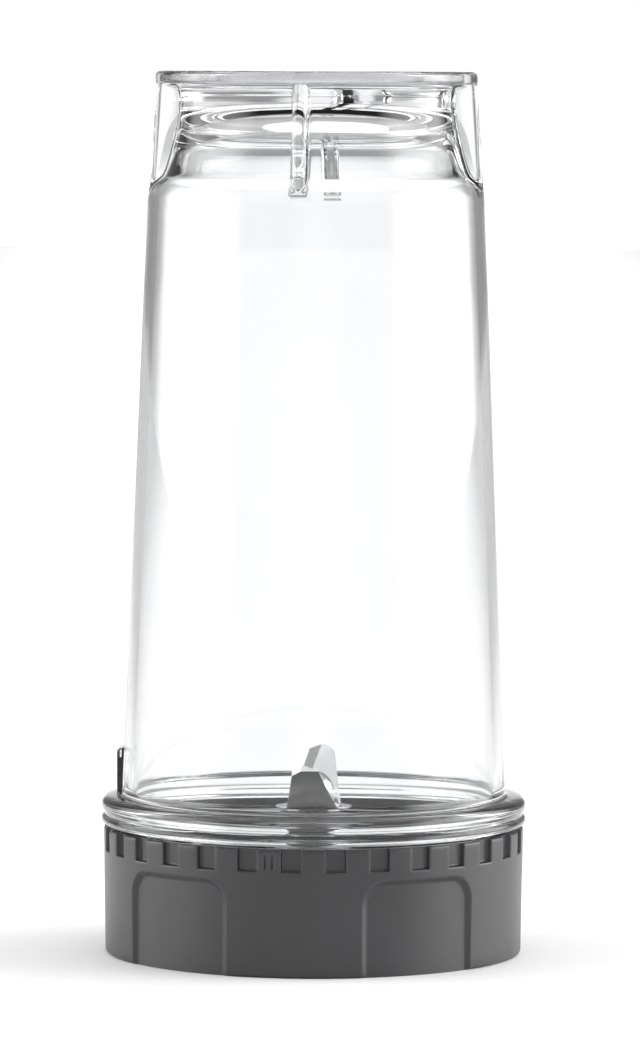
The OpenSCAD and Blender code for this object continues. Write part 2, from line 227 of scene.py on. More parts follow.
# How deep a recess is at a signed distance (mm) from its edge, negative inside it: a small
# round at the top of its wall, the wall, and a small fillet on its floor. A grip slot's wall is
# steep, and a panel's slopes.
RECESS_EDGE = [(-0.3, 1.0), (-0.14, 0.95), (-0.04, 0.8), (0.04, 0.22), (0.12, 0.06), (0.3, 0.0)]
EDGE_STEPS = [s for s, _ in RECESS_EDGE]
PANEL_EDGE = [(-1.0, 1.0), (-0.84, 0.97), (-0.66, 0.86), (0.1, 0.2), (0.3, 0.05), (0.5, 0.0)]
PANEL_STEPS = [s for s, _ in PANEL_EDGE]


def helix_ridge(root_r, crest_r, centre, z):
    """Vertices and faces of one thread ridge on a true helix, with its ends run out to the wall."""
    section = [
        (root_r, -RIDGE_ROOT_W / 2),
        (crest_r, -RIDGE_CREST_W / 2),
        (crest_r, RIDGE_CREST_W / 2),
        (root_r, RIDGE_ROOT_W / 2),
    ]
    verts, faces = [], []
    for i in range(RIDGE_STEPS + 1):
        t = i / RIDGE_STEPS
        a = centre + (t - 0.5) * RIDGE_SWEEP
        height = ramp([(0, 0.0), (0.06, 0.75), (0.12, 1.0)], min(t, 1 - t))
        zc = z + LEAD * (a - centre) / TAU
        for r, dz in section:
            verts.append(polar(root_r + (r - root_r) * height, a, zc + dz))
    for i in range(RIDGE_STEPS):
        for k in range(4):
            p, q = 4 * i + k, 4 * i + (k + 1) % 4
            faces.append((p, q, q + 4, p + 4))
    faces.append((0, 1, 2, 3))
    last = 4 * RIDGE_STEPS
    faces.append((last + 3, last + 2, last + 1, last))
    return verts, faces


# ---------------------------------------------------------------------------
# Collar: ring nut and skirt
# ---------------------------------------------------------------------------


def skin_radius(z):
    """Outer radius of the collar's plain wall at a height."""
    if z < FOOT_ROUND:
        return FOOT_R - FOOT_ROUND + math.sqrt(max(FOOT_ROUND ** 2 - (FOOT_ROUND - z) ** 2, 0))
    r = FOOT_R + (TOP_R - FOOT_R) * (z - FOOT_ROUND) / (COLLAR_H - FOOT_ROUND)
    over = z - (COLLAR_H - TOP_ROUND)
    if over > 0:
        r -= TOP_ROUND - math.sqrt(max(TOP_ROUND ** 2 - over ** 2, 0))
    return r


def collar_columns():
    """Directions of the mesh's columns: a fine set round each slot's and mark's edges, plus the
    sides of the panels' blocks."""
    edge = SLOT_W / 2
    offsets = [0.0, 1.2] + [edge + s for s in EDGE_STEPS] + [3.2, 4.1]
    offsets = sorted({-o for o in offsets} | set(offsets))
    pitch = TAU / SLOT_COUNT
    columns = [k * pitch + o / TOP_R for k in range(SLOT_COUNT) for o in offsets]
    columns += [(k + 0.5) * pitch for k in range(SLOT_COUNT)]
    columns += [MARK_AT + (side * MARK_GAP + edge * (MARK_HALF_W + o)) / TOP_R
                for side in (-1, 1) for edge in (-1, 1) for o in (-MARK_SIDE, MARK_SIDE)]
    for k in range(PANEL_COUNT):
        for side in (-1, 1):
            want = (PANEL_PHASE + k * TAU / PANEL_COUNT + side * panel_side()) % TAU
            columns = [c for c in columns if abs(c % TAU - want) > 0.004]
            columns.append(want)
    return sorted(c % TAU for c in columns)


def panel_side():
    """Half angle of the block of mesh that holds one panel."""
    return (PANEL_HALF_W + PANEL_MARGIN) / FOOT_R


def slot_share(angle, z):
    """How far down into a grip slot a point lies, from 0 on the wall to 1 on the slot's floor."""
    pitch = TAU / SLOT_COUNT
    across = abs((angle + pitch / 2) % pitch - pitch / 2) * TOP_R - SLOT_W / 2
    down = (COLLAR_H - SLOT_H) - z
    if across > 0 and down > 0:
        return ramp(RECESS_EDGE, math.hypot(across, down))
    return ramp(RECESS_EDGE, max(across, down))


def mark_depth(angle, z):
    """Depth of the pair of short engraved lines on one tooth."""
    across = signed(angle - MARK_AT) * TOP_R
    side = MARK_HALF_W - min(abs(across - MARK_GAP), abs(across + MARK_GAP))
    end = min(z - MARK_LOW, MARK_HIGH - z)
    share = ramp([(-MARK_SIDE, 0.0), (MARK_SIDE, 1.0)], side)
    return MARK_DEPTH * share * ramp([(0.0, 0.0), (MARK_END, 1.0)], end)


def collar_outer_radius(angle, z):
    """Outer radius of the collar with its slots and marks, but without its panels."""
    skin = skin_radius(z)
    return skin - slot_share(angle, z) * max(skin - SLOT_FLOOR_R, 0) - mark_depth(angle, z)


def panel_ring(offset, sides, tops):
    """U-shaped outline of a panel grown by offset: sides are heights up one side, and tops are
    distances across its top. Returns (across, height) points."""
    corner = max(PANEL_CORNER + offset, 0.05)
    half, top = PANEL_HALF_W + offset, PANEL_H + offset
    leg_top = PANEL_H - PANEL_CORNER
    upper = [z for z in sides if z > leg_top + 1e-6]
    inner = PANEL_HALF_W - PANEL_CORNER
    outer_tops = [x for x in tops if x < -inner]
    points = [(-half, z) for z in sides if z <= leg_top + 1e-6]
    cx, cz = -(half - corner), top - corner
    for i in range(len(upper)):
        a = math.radians(180 - 45 * (i + 1) / len(upper))
        points.append((cx + corner * math.cos(a), cz + corner * math.sin(a)))
    for i in range(len(outer_tops)):
        a = math.radians(135 - 45 * (i + 1) / (len(outer_tops) + 1))
        points.append((cx + corner * math.cos(a), cz + corner * math.sin(a)))
    points += [(x * (half - corner) / inner, top) for x in tops if abs(x) <= inner]
    mirrored = [(-x, z) for x, z in points if x < -(half - corner) + 1e-9]
    return points + mirrored[::-1]


def build_collar():
    """The collar in one closed mesh, with thread ridges that run into its bore."""
    b = Builder()
    columns = collar_columns()
    n = len(columns)
    leg_top = PANEL_H - PANEL_CORNER
    block_top = PANEL_H + PANEL_MARGIN
    low = [0, 0.08, 0.25, 0.5, 0.75, FOOT_ROUND, 3, 6, 9, 12, 14.5, leg_top]
    low += [leg_top + (block_top - leg_top) * i / 6 for i in range(1, 7)]
    slot_low = COLLAR_H - SLOT_H
    high = [slot_low + s for s in (-0.6,) + tuple(EDGE_STEPS)]
    high += [MARK_LOW, MARK_LOW + MARK_END, 26.5, MARK_HIGH - MARK_END, MARK_HIGH]
    high += [COLLAR_H - TOP_ROUND * k for k in (1.0, 0.6, 0.3, 0.1, 0.0)]
    rows = low + high
    outer = [b.ring([polar(collar_outer_radius(a, z), a, z) for a in columns]) for z in rows]

    # Plain wall, leaving a hole for each panel's own mesh
    def nearest(angle):
        return min(range(n), key=lambda j: abs(signed(columns[j] - angle)))

    blocks = []
    for k in range(PANEL_COUNT):
        centre = PANEL_PHASE + k * TAU / PANEL_COUNT
        left, right = nearest(centre - panel_side()), nearest(centre + panel_side())
        span = [(left + i) % n for i in range((right - left) % n + 1)]
        blocks.append((centre, span))
    held = {j for _, span in blocks for j in span[:-1]}
    for i in range(len(rows) - 1):
        for j in range(n):
            if i < len(low) - 1 and j in held:
                continue
            q = (j + 1) % n
            b.faces.append((outer[i][j], outer[i][q], outer[i + 1][q], outer[i + 1][j]))
    feet = [fill_panel(b, outer, low, centre, [columns[j] for j in span], span)
            for centre, span in blocks]

    # Top face, threaded bore, ledge, skirt and foot, inwards from the wall's top ring
    inner_top = BORE_R + BORE_BEVEL
    rings = [outer[-1]]
    for share in (0.35, 1.0):
        points = []
        for j, a in enumerate(columns):
            r0 = collar_outer_radius(a, COLLAR_H)
            points.append(polar(r0 + (inner_top - r0) * share, a, COLLAR_H))
        rings.append(b.ring(points))
    profile = [
        (BORE_R + 0.15, COLLAR_H - 0.15), (BORE_R, COLLAR_H - BORE_BEVEL), (BORE_R, 25),
        (BORE_R, 20), (BORE_R, FLOOR_Z + 0.3), (BORE_R - 0.3, FLOOR_Z), (LEDGE_R + 0.25, FLOOR_Z),
        (LEDGE_R, FLOOR_Z - 0.25), (LEDGE_R, LEDGE_Z + 0.25), (LEDGE_R + 0.25, LEDGE_Z),
        (SKIRT_R - 0.5, LEDGE_Z), (SKIRT_R, LEDGE_Z - 0.5), (SKIRT_R, 8), (SKIRT_R, 0.5),
        (SKIRT_R + 0.15, 0.15), (SKIRT_R + 0.5, 0),
    ]
    rings += [b.ring([polar(r, a, z) for a in columns]) for r, z in profile]
    b.skin(rings)

    # Close the foot: quads beside the panels, and one flat face under each panel
    foot = rings[-1]
    for j in range(n):
        if j not in held:
            q = (j + 1) % n
            b.faces.append((foot[j], foot[q], outer[0][q], outer[0][j]))
    for (_, span), chain in zip(blocks, feet):
        b.faces.append([foot[j] for j in span] + chain[::-1])

    piece = finish_mesh("collar_moulding", b.verts, b.faces, sharp_deg=50)
    add_ridges(piece, BORE_R + 0.5, BORE_R - 1.4, CUP_THREAD_Z + THREAD_OFFSET, COLLAR_RIDGES)
    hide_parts("collar")
    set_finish(piece, "grey_plastic")
    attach(piece, "base")


def fill_panel(b, outer, sides, centre, angles, span):
    """One arched panel: rings that shrink from the block's edge over the panel's wall, and a
    plain grid on its floor. The panel runs out at the foot, and its lowest vertices are returned
    from left to right."""
    tops = [signed(a - centre) * FOOT_R for a in angles[1:-1]]
    left, right = span[0], span[-1]
    n = len(sides)
    edge = [outer[i][left] for i in range(n)]
    edge += [outer[n - 1][j] for j in span[1:-1]]
    edge += [outer[i][right] for i in range(n - 1, -1, -1)]
    rings = [edge]
    for offset in [0.8] + PANEL_STEPS[::-1] + [-1.3, -2.4, -PANEL_CORNER + 1.2]:
        points = []
        for x, z in panel_ring(offset, sides, tops):
            skin = skin_radius(max(z, 0))
            share = ramp(PANEL_EDGE, offset)
            r = skin - share * max(skin - PANEL_FLOOR_R, 0)
            points.append(polar(r, centre + x / FOOT_R, max(z, 0)))
        rings.append(b.ring(points))
    for first, second in zip(rings, rings[1:]):
        for i in range(len(first) - 1):
            b.faces.append((first[i], second[i], second[i + 1], first[i + 1]))

    # Floor inside the last ring: rows follow its legs, columns follow its top
    last = rings[-1]
    legs = len([z for z in sides if z <= PANEL_H - PANEL_CORNER + 1e-6])
    flat_tops = len([x for x in tops if abs(x) <= PANEL_HALF_W - PANEL_CORNER])
    corner_n = (len(last) - 2 * legs - flat_tops) // 2
    left_leg = last[:legs]
    left_corner = last[legs:legs + corner_n]
    top_run = last[legs + corner_n:len(last) - legs - corner_n]
    right_corner = last[len(last) - legs - corner_n:len(last) - legs]
    right_leg = last[-legs:][::-1]
    prev, lowest = None, None
    for i in range(legs):
        z = Vector(b.verts[left_leg[i]]).z / MM
        row = [left_leg[i]]
        for t in top_run:
            x, y, _ = b.verts[t]
            b.verts.append(polar(min(skin_radius(z), PANEL_FLOOR_R), math.atan2(y, x), z))
            row.append(len(b.verts) - 1)
        row.append(right_leg[i])
        if prev:
            for p in range(len(row) - 1):
                b.faces.append((prev[p], prev[p + 1], row[p + 1], row[p]))
        prev = row
        lowest = lowest or row

    # Join the top row of the floor to the ring's top run, and close each corner with one face
    for p in range(len(top_run) - 1):
        b.faces.append((prev[p + 1], prev[p + 2], top_run[p + 1], top_run[p]))
    b.faces.append([prev[0], prev[1], top_run[0]] + left_corner[::-1])
    b.faces.append([prev[-2], prev[-1]] + right_corner[::-1] + [top_run[-1]])
    return [r[0] for r in rings[:-1]] + lowest + [r[-1] for r in rings[-2::-1]]


def add_ridges(piece, root_r, crest_r, z0, count):
    """Adds helical thread ridges to a moulding's mesh. Each is a closed shell that runs into the
    moulding's wall."""
    verts, faces = [], []
    for k in range(THREAD_STARTS):
        for i in range(count):
            centre = k * TAU / THREAD_STARTS + i * RIDGE_PITCH
            v, f = helix_ridge(root_r, crest_r, centre, z0 + LEAD * i * RIDGE_PITCH / TAU)
            start = len(verts)
            verts += v
            faces += [tuple(start + p for p in face) for face in f]
    ridges = finish_mesh(piece.name + "_ridges", verts, faces)
    work = bmesh.new()
    work.from_mesh(piece.data)
    work.from_mesh(ridges.data)
    work.to_mesh(piece.data)
    work.free()
    bpy.data.objects.remove(ridges)


# ---------------------------------------------------------------------------
# Cup
# ---------------------------------------------------------------------------


def taper_radius(z):
    """Outer radius of the cup's body at a height."""
    return CUP_R_LOW + (CUP_R_HIGH - CUP_R_LOW) * (z - TAPER_Z) / (SHOULDER_Z - TAPER_Z)


def envelope_radius(z):
    """Radius of the fins' outer edges."""
    t = (z - SHOULDER_Z) / (FOOT_Z - SHOULDER_Z)
    return FIN_LOW_R + (FIN_HIGH_R - FIN_LOW_R) * t


def cup_rows():
    """The cup's closed outline from the rim, up the outside and back down the inside.
    Each row is (radius, height, fin radius or None, fin height). The first and last row of the
    threaded neck are returned too, the last one not included."""
    flange = (
        [(NECK_R, FLANGE_Z - 0.25), (NECK_R + 0.25, FLANGE_Z)]
        + arc(FLANGE_R - 1.3, FLANGE_Z + 1.3, 1.3, -90, 45, 8)
        + [(FLANGE_R - 0.72, FLANGE_Z + 2.45), (FLANGE_R - 0.72, FLANGE_Z + 2.75)]
        + arc(FLANGE_R - 2.05, FLANGE_Z + 4.6, 2.0, -48, 70, 9)
        + [(FLANGE_R - 2.9, TAPER_Z - 0.05), (CUP_R_LOW + 1.0, TAPER_Z + 0.02),
           (CUP_R_LOW + 0.3, TAPER_Z + 0.2), (CUP_R_LOW, TAPER_Z + 0.8)])
    lug_rows = [TAPER_Z + 2, TAPER_Z + 5, TAPER_Z + 8]
    lug_rows += [LUG_TOP - d for d in (1.6, 1.1, 0.7, 0.4, 0.2, 0.05, -0.1, -0.5)]
    body = [(taper_radius(z), z) for z in lug_rows]
    body += [(taper_radius(z), z) for z in range(55, int(SHOULDER_Z) - 4, 8)]
    waist = smooth([
        (taper_radius(SHOULDER_Z - 3), SHOULDER_Z - 3),
        (CUP_R_HIGH, SHOULDER_Z - 0.3),
        (CUP_R_HIGH - 0.7, SHOULDER_Z + 1.5),
        (CUP_R_HIGH - 2.0, SHOULDER_Z + 3.0),
        (CUP_R_HIGH - 3.7, SHOULDER_Z + 4.5),
        (WAIST_R + 2.7, SHOULDER_Z + 7.6),
        (WAIST_R + 1.7, SHOULDER_Z + 11.4),
        (WAIST_R + 0.8, SHOULDER_Z + 15.4),
        (WAIST_R + 0.2, SHOULDER_Z + 19.2),
        (WAIST_R, SHOULDER_Z + 22.4),
        (WAIST_R + 0.3, FOOT_Z - 1.2),
        (WAIST_R + 0.9, FOOT_Z - 0.35),
        (WAIST_R + 2.0, FOOT_Z),
    ], 3)
    under = [(WAIST_R + 3.2, FOOT_Z), (WAIST_R + 4.4, FOOT_Z), (FOOT_DISC_R - 0.55, FOOT_Z)]
    foot_round = arc(FOOT_DISC_R - 0.47, FOOT_Z + 0.6, 0.6, -80, 0, 5)
    foot = arc(FOOT_DISC_R - 1.1, TOTAL_H - 1.2, 1.2, 0, 90, 6)
    foot += arc(FOOT_DISC_R - 5.4, TOTAL_H - 0.9, 0.9, 90, 170, 5)
    foot += arc(FOOT_DISC_R - 8.2, TOTAL_H - END_RECESS + 1.2, 1.2, -10, -90, 4)
    end = [(22, TOTAL_H - END_RECESS), (12, TOTAL_H - END_RECESS), (0.6, TOTAL_H - END_RECESS)]
    cavity = smooth([
        (0.6, CEILING_Z), (10, CEILING_Z - 0.4), (18, CEILING_Z - 1.6), (24, CEILING_Z - 3.6),
        (28, CEILING_Z - 6.4), (WAIST_R - 1.2, CEILING_Z - 9.9), (WAIST_R + 0.2, SHOULDER_Z + 8),
        (CUP_R_HIGH - 6, SHOULDER_Z + 5), (CUP_R_HIGH - 4, SHOULDER_Z + 2.3),
        (CUP_R_HIGH - CUP_WALL - 0.2, SHOULDER_Z),
        (taper_radius(SHOULDER_Z - 3) - CUP_WALL, SHOULDER_Z - 3),
    ], 3)
    cavity += [(taper_radius(z) - CUP_WALL, z) for z in range(int(SHOULDER_Z) - 12, 38, -12)]
    cavity += [(CUP_R_LOW - CUP_WALL, TAPER_Z), (NECK_BORE_R, FLANGE_Z - 0.5)]
    cavity += [(NECK_BORE_R, RIM_Z + 0.4), (NECK_BORE_R + 0.12, RIM_Z + 0.12)]
    cavity += [(NECK_BORE_R + 0.4, RIM_Z)]
    rim = [(NECK_R - 0.5, RIM_Z), (NECK_R - 0.15, RIM_Z + 0.15)]
    neck_n = int((FLANGE_Z - 0.6 - RIM_Z - 0.5) / NECK_STEP)
    neck = [(NECK_R, RIM_Z + 0.5 + NECK_STEP * i) for i in range(neck_n + 1)]

    rows = [(r, z, None, z) for r, z in rim + neck + flange + body]
    fin_top = FOOT_Z - FIN_GAP
    for r, z in waist:
        fin_z = SHOULDER_Z + (z - SHOULDER_Z) * (fin_top - SHOULDER_Z) / (FOOT_Z - SHOULDER_Z)
        rows.append((r, z, envelope_radius(fin_z) if z > SHOULDER_Z else None, fin_z))
    for i, (r, z) in enumerate(under):
        rows.append((r, z, envelope_radius(FOOT_Z), FOOT_Z - 0.04 * (len(under) - i)))
    rows += [(r, z, envelope_radius(FOOT_Z), z) for r, z in foot_round]
    rows += [(r, z, None, z) for r, z in foot + end + cavity]
    return rows, len(rim), len(rim) + len(neck)


# A fin's and the lug's columns, by distance from its middle plane (mm), and the fillets at the
# foot of a fin and round the edge of the lug. A fin's outer edge is a full round.
FIN_COLUMNS = [0.0, 0.45, 0.85, 1.15, 1.35, 1.5, 1.6, 1.66, 1.695, 1.705, 1.8, 2.0, 2.5, 3.2, 4.2]
FIN_REACH = 2.5
FIN_FILLET = [(1.7, 0.55), (1.8, 0.3), (2.0, 0.1), (2.5, 0.0)]
LUG_COLUMNS = [0.0, 0.6, 1.2, 1.7, 2.2, 2.9, 3.3, 3.6, 3.75, 3.85, 3.95, 4.1, 4.3, 4.6, 5.1,
               5.8, 6.6]
LUG_REACH = 4.6
LUG_ROUND = [(-0.1, 0.0), (0.05, 0.35), (0.15, 0.6), (0.4, 0.85), (0.8, 1.0)]

# Columns keep their sideways distance down to this radius, and their direction inside it.
PARALLEL_FROM_R = 29.0

# The lug stands below one of the fins, turned a little from it, so the mesh's columns there change
# over from the fin's to the lug's on the way down. Plain ones make up the numbers on each side.
LUG_FIN = 2
BESIDE_FIN = [math.radians(d) for d in (183.4, 185.2, 187.0, 188.8, 190.6)]
BESIDE_LUG = [math.radians(167.2)]
CHANGE_LOW, CHANGE_HIGH = LUG_TOP + 4.0, SHOULDER_Z - 6.0
PLAIN_COUNT, PLAIN_CLEAR = 180, math.radians(0.7)


def feature_columns(kind, direction, offsets):
    """The columns of a fin or the lug, from one side of it to the other."""
    return [(kind, direction, o) for o in sorted({-o for o in offsets} | set(offsets))]


def plain_columns(directions):
    """Columns that each lie in one direction."""
    return [("plain", a, 0.0) for a in directions]


def cup_columns():
    """Each column is a pair: what it follows at the closed end, and at the flange. Each of the two
    is (kind, direction, sideways distance): a plain column lies in its direction, and a fin or
    lug column lies at its sideways distance from the middle plane."""
    columns, held = [], []
    for k in range(FIN_COUNT):
        top = feature_columns("fin", FIN_PHASE + k * TAU / FIN_COUNT, FIN_COLUMNS)
        low = top
        if k == LUG_FIN:
            top = top + plain_columns(BESIDE_FIN)
            low = plain_columns(BESIDE_LUG) + feature_columns("lug", math.pi, LUG_COLUMNS)
        columns += zip(top, low)
        held.append((min(part_angle(top[0], WAIST_R), part_angle(low[0], WAIST_R)),
                     max(part_angle(top[-1], WAIST_R), part_angle(low[-1], WAIST_R))))
    for i in range(PLAIN_COUNT):
        a = i * TAU / PLAIN_COUNT
        if all(abs(signed(a - (p + q) / 2)) > (q - p) / 2 + PLAIN_CLEAR for p, q in held):
            columns.append((("plain", a, 0.0), ("plain", a, 0.0)))
    return sorted(columns, key=lambda c: part_angle(c[0], WAIST_R) % TAU)


def thread_height(angle, z):
    """How far the cup's thread stands off its neck at a point."""
    best = 0.0
    for k in range(THREAD_STARTS):
        for i in range(CUP_RIDGES):
            off = signed(angle - (k * TAU / THREAD_STARTS + i * RIDGE_PITCH))
            end = RIDGE_SWEEP / 2 - abs(off)
            if end <= 0:
                continue
            zc = CUP_THREAD_Z + LEAD * i * RIDGE_PITCH / TAU + LEAD * off / TAU
            up = ramp([(0.45, 1.0), (0.52, 0.93), (0.74, 0.08), (0.9, 0.0)], abs(z - zc))
            best = max(best, CUP_THREAD_H * up * ramp([(0, 0.0), (0.05, 0.8), (0.1, 1.0)], end))
    return best


def column_turn(kind, side, r):
    """Angle of a column from its feature's middle plane. It keeps its sideways distance within
    the feature's reach, and beyond that it spreads out to the plain columns."""
    if kind == "plain":
        return 0.0
    reach, last = (FIN_REACH, FIN_COLUMNS[-1]) if kind == "fin" else (LUG_REACH, LUG_COLUMNS[-1])
    r = max(r, PARALLEL_FROM_R)
    away = abs(side)
    if away <= reach:
        return math.asin(side / r)
    near, far = math.asin(reach / r), last / WAIST_R
    return math.copysign(near + (far - near) * (away - reach) / (last - reach), side)


def part_angle(part, r):
    """Direction, at a radius, of one of the two that a column follows."""
    kind, direction, side = part
    return direction + column_turn(kind, side, r)


def column_angle(column, r, z):
    """Direction of a column at a radius and height."""
    top, low = (part_angle(part, r) for part in column)
    return low + (top - low) * ramp([(CHANGE_LOW, 0.0), (CHANGE_HIGH, 1.0)], z)


def cup_point(row, column, in_neck):
    """Where a row and a column of the cup meet, moved out over the fins, the lug and the thread."""
    r, z, fin_r, fin_z = row
    (top_kind, _, top_side), (low_kind, _, low_side) = column
    if top_kind == "fin" and fin_r is not None:
        away = abs(top_side)
        height = max(fin_r - r, 0)
        if away < FIN_HALF_T:
            rounding = FIN_HALF_T - math.sqrt(FIN_HALF_T ** 2 - away ** 2)
            fillet = FIN_FILLET[0][1]
            r, z = max(r, fin_r - min(rounding, max(height - fillet, 0))), fin_z
        else:
            r += min(ramp(FIN_FILLET, away), height)
    if low_kind == "lug" and CUP_R_LOW - 1 < r < CUP_R_LOW + 2 and TAPER_Z - 0.2 < z < LUG_TOP + 1:
        edge = min(LUG_HALF_W - abs(low_side), LUG_TOP - z)
        wall = taper_radius(max(z, TAPER_Z))
        r = max(r, wall + (CUP_R_LOW + LUG_PROUD - wall) * ramp(LUG_ROUND, edge))
    angle = column_angle(column, r, z)
    if in_neck:
        r += thread_height(angle, z)
    return polar(r, angle, z)


def build_cup():
    """The cup in one closed mesh, with its fins, lug and thread."""
    b = Builder()
    rows, neck_from, neck_to = cup_rows()
    columns = cup_columns()
    rings = []
    for i, row in enumerate(rows):
        in_neck = neck_from <= i < neck_to
        rings.append(b.ring([cup_point(row, c, in_neck) for c in columns]))
    poles = [i for i, row in enumerate(rows) if row[0] < 1]
    outer, inner = rings[:poles[0] + 1], rings[poles[1]:]
    b.skin(outer)
    b.skin(inner)
    b.skin([inner[-1], outer[0]])
    b.faces.append(tuple(outer[-1]))
    b.faces.append(tuple(inner[0]))
    piece = finish_mesh("cup_moulding", b.verts, b.faces, sharp_deg=55)
    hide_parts("cup")
    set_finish(piece, "clear_plastic")
    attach(piece, "cup")


# ---------------------------------------------------------------------------
# Materials
# ---------------------------------------------------------------------------


# Sockets of a colour mix node, which go by number: its factor, its two colours and its result
MIX_FACTOR, MIX_A, MIX_B, MIX_RESULT = 0, 6, 7, 2


class Nodes:
    """A material's node tree, with short calls for the nodes used here."""

    def __init__(self, name):
        self.material = bpy.data.materials.new(name)
        self.material.use_nodes = True
        self.tree = self.material.node_tree
        self.shader = self.tree.nodes["Principled BSDF"]
        self.place = self.add("ShaderNodeTexCoord").outputs["Object"]

    def add(self, kind, **values):
        node = self.tree.nodes.new(kind)
        for key, value in values.items():
            setattr(node, key, value)
        return node

    def link(self, source, target):
        self.tree.links.new(source, target)

    def set(self, **values):
        for key, value in values.items():
            self.shader.inputs[key.replace("_", " ")].default_value = value

    def noise(self, scale, detail=3.0, roughness=0.5, stretch=None):
        """Noise with features of about 1/scale metres, each axis's scale multiplied by stretch."""
        where = self.place
        if stretch:
            mapping = self.add("ShaderNodeMapping")
            mapping.inputs["Scale"].default_value = stretch
            self.link(where, mapping.inputs["Vector"])
            where = mapping.outputs["Vector"]
        node = self.add("ShaderNodeTexNoise")
        node.inputs["Scale"].default_value = scale
        node.inputs["Detail"].default_value = detail
        node.inputs["Roughness"].default_value = roughness
        self.link(where, node.inputs["Vector"])
        return node.outputs["Fac"]

    def rings(self, scale, distortion=0.6):
        """Turning marks round the Z axis."""
        node = self.add("ShaderNodeTexWave", wave_type="RINGS", rings_direction="Z")
        node.inputs["Scale"].default_value = scale
        node.inputs["Distortion"].default_value = distortion
        node.inputs["Detail"].default_value = 2.0
        self.link(self.place, node.inputs["Vector"])
        return node.outputs["Fac"]

    def span(self, source, low, high):
        """Maps a 0 to 1 value to low to high."""
        node = self.add("ShaderNodeMapRange")
        node.inputs["To Min"].default_value = low
        node.inputs["To Max"].default_value = high
        self.link(source, node.inputs["Value"])
        return node.outputs["Result"]

    def colour(self, source, *stops):
        """A colour ramp from (position, grey or RGB) stops to the base colour."""
        node = self.add("ShaderNodeValToRGB")
        marks = node.color_ramp.elements
        while len(marks) < len(stops):
            marks.new(0.5)
        for mark, (position, rgb) in zip(marks, stops):
            mark.position = position
            mark.color = (*rgb, 1)
        self.link(source, node.inputs["Fac"])
        self.link(node.outputs["Color"], self.shader.inputs["Base Color"])

    def worn(self, wear, amount):
        """Lightens the base colour along raised edges."""
        patches = self.span(self.noise(420, 3), 0, amount)
        self.paint_wear_and_shade(self.math("MULTIPLY", self.edges(0.505, 0.56), patches), wear)

    def roughness(self, source, low, high):
        """Maps a 0 to 1 value to a span of roughness."""
        self.link(self.span(source, low, high), self.shader.inputs["Roughness"])

    def mask(self, source, low, high):
        """0 where a value is below low, 1 where it is above high, and even steps between."""
        node = self.add("ShaderNodeMapRange")
        node.inputs["From Min"].default_value = low
        node.inputs["From Max"].default_value = high
        self.link(source, node.inputs["Value"])
        return node.outputs["Result"]

    def above(self, height, fade):
        """1 above a height on the object and 0 below it, in metres."""
        apart = self.add("ShaderNodeSeparateXYZ")
        self.link(self.place, apart.inputs["Vector"])
        return self.mask(apart.outputs["Z"], height, height + fade)

    def edges(self, low, high):
        """1 on edges that stand out, 0 on plain and hollow surfaces."""
        geometry = self.add("ShaderNodeNewGeometry")
        return self.mask(geometry.outputs["Pointiness"], low, high)

    def math(self, operation, first, second):
        node = self.add("ShaderNodeMath", operation=operation)
        self.link(first, node.inputs[0])
        self.link(second, node.inputs[1])
        return node.outputs["Value"]

    def paint_wear_and_shade(self, mask, rgb):
        """Mixes a colour over the base colour where the mask is 1: edge wear, and painted shade on
        the clear plastic's foot disc.
        """
        colour = self.shader.inputs["Base Color"].links[0].from_socket
        mix = self.add("ShaderNodeMix", data_type="RGBA")
        self.link(mask, mix.inputs[MIX_FACTOR])
        self.link(colour, mix.inputs[MIX_A])
        mix.inputs[MIX_B].default_value = (*rgb, 1)
        self.link(mix.outputs[MIX_RESULT], self.shader.inputs["Base Color"])

    def bump(self, source, height, strength=1.0, after=None):
        """Bump of a height in metres, on top of another bump if one is given."""
        node = self.add("ShaderNodeBump")
        node.inputs["Distance"].default_value = height
        node.inputs["Strength"].default_value = strength
        self.link(source, node.inputs["Height"])
        if after:
            self.link(after, node.inputs["Normal"])
        self.link(node.outputs["Normal"], self.shader.inputs["Normal"])
        return node.outputs["Normal"]


def moulded_plastic(name, dark, light, rough, grain=0.00002):
    """Satin moulded plastic: a fine spark-eroded grain and slow, slight colour drift."""
    m = Nodes(name)
    m.colour(m.noise(60, 4), (0.3, dark), (0.7, light))
    m.roughness(m.noise(900, 2), *rough)
    fine = m.bump(m.noise(5200, 2, 0.6), grain)
    m.bump(m.noise(240, 2), grain * 1.5, after=fine)
    m.worn([c * 2.2 for c in light], 0.5)
    m.set(IOR=1.55)
    return m.material


# Painted shade on the slightly hazed foot disc: a grey mixed into its colour for the darker light
# seen through it, and the height over which it fades in. Then the plastic's absorption per metre
FOOT_PAINTED_SHADE, FOOT_FADE = (0.62, 0.62, 0.64), 0.0003
DEPTH_TINT, DEPTH_DENSITY = (0.8, 0.8, 0.81, 1), 12


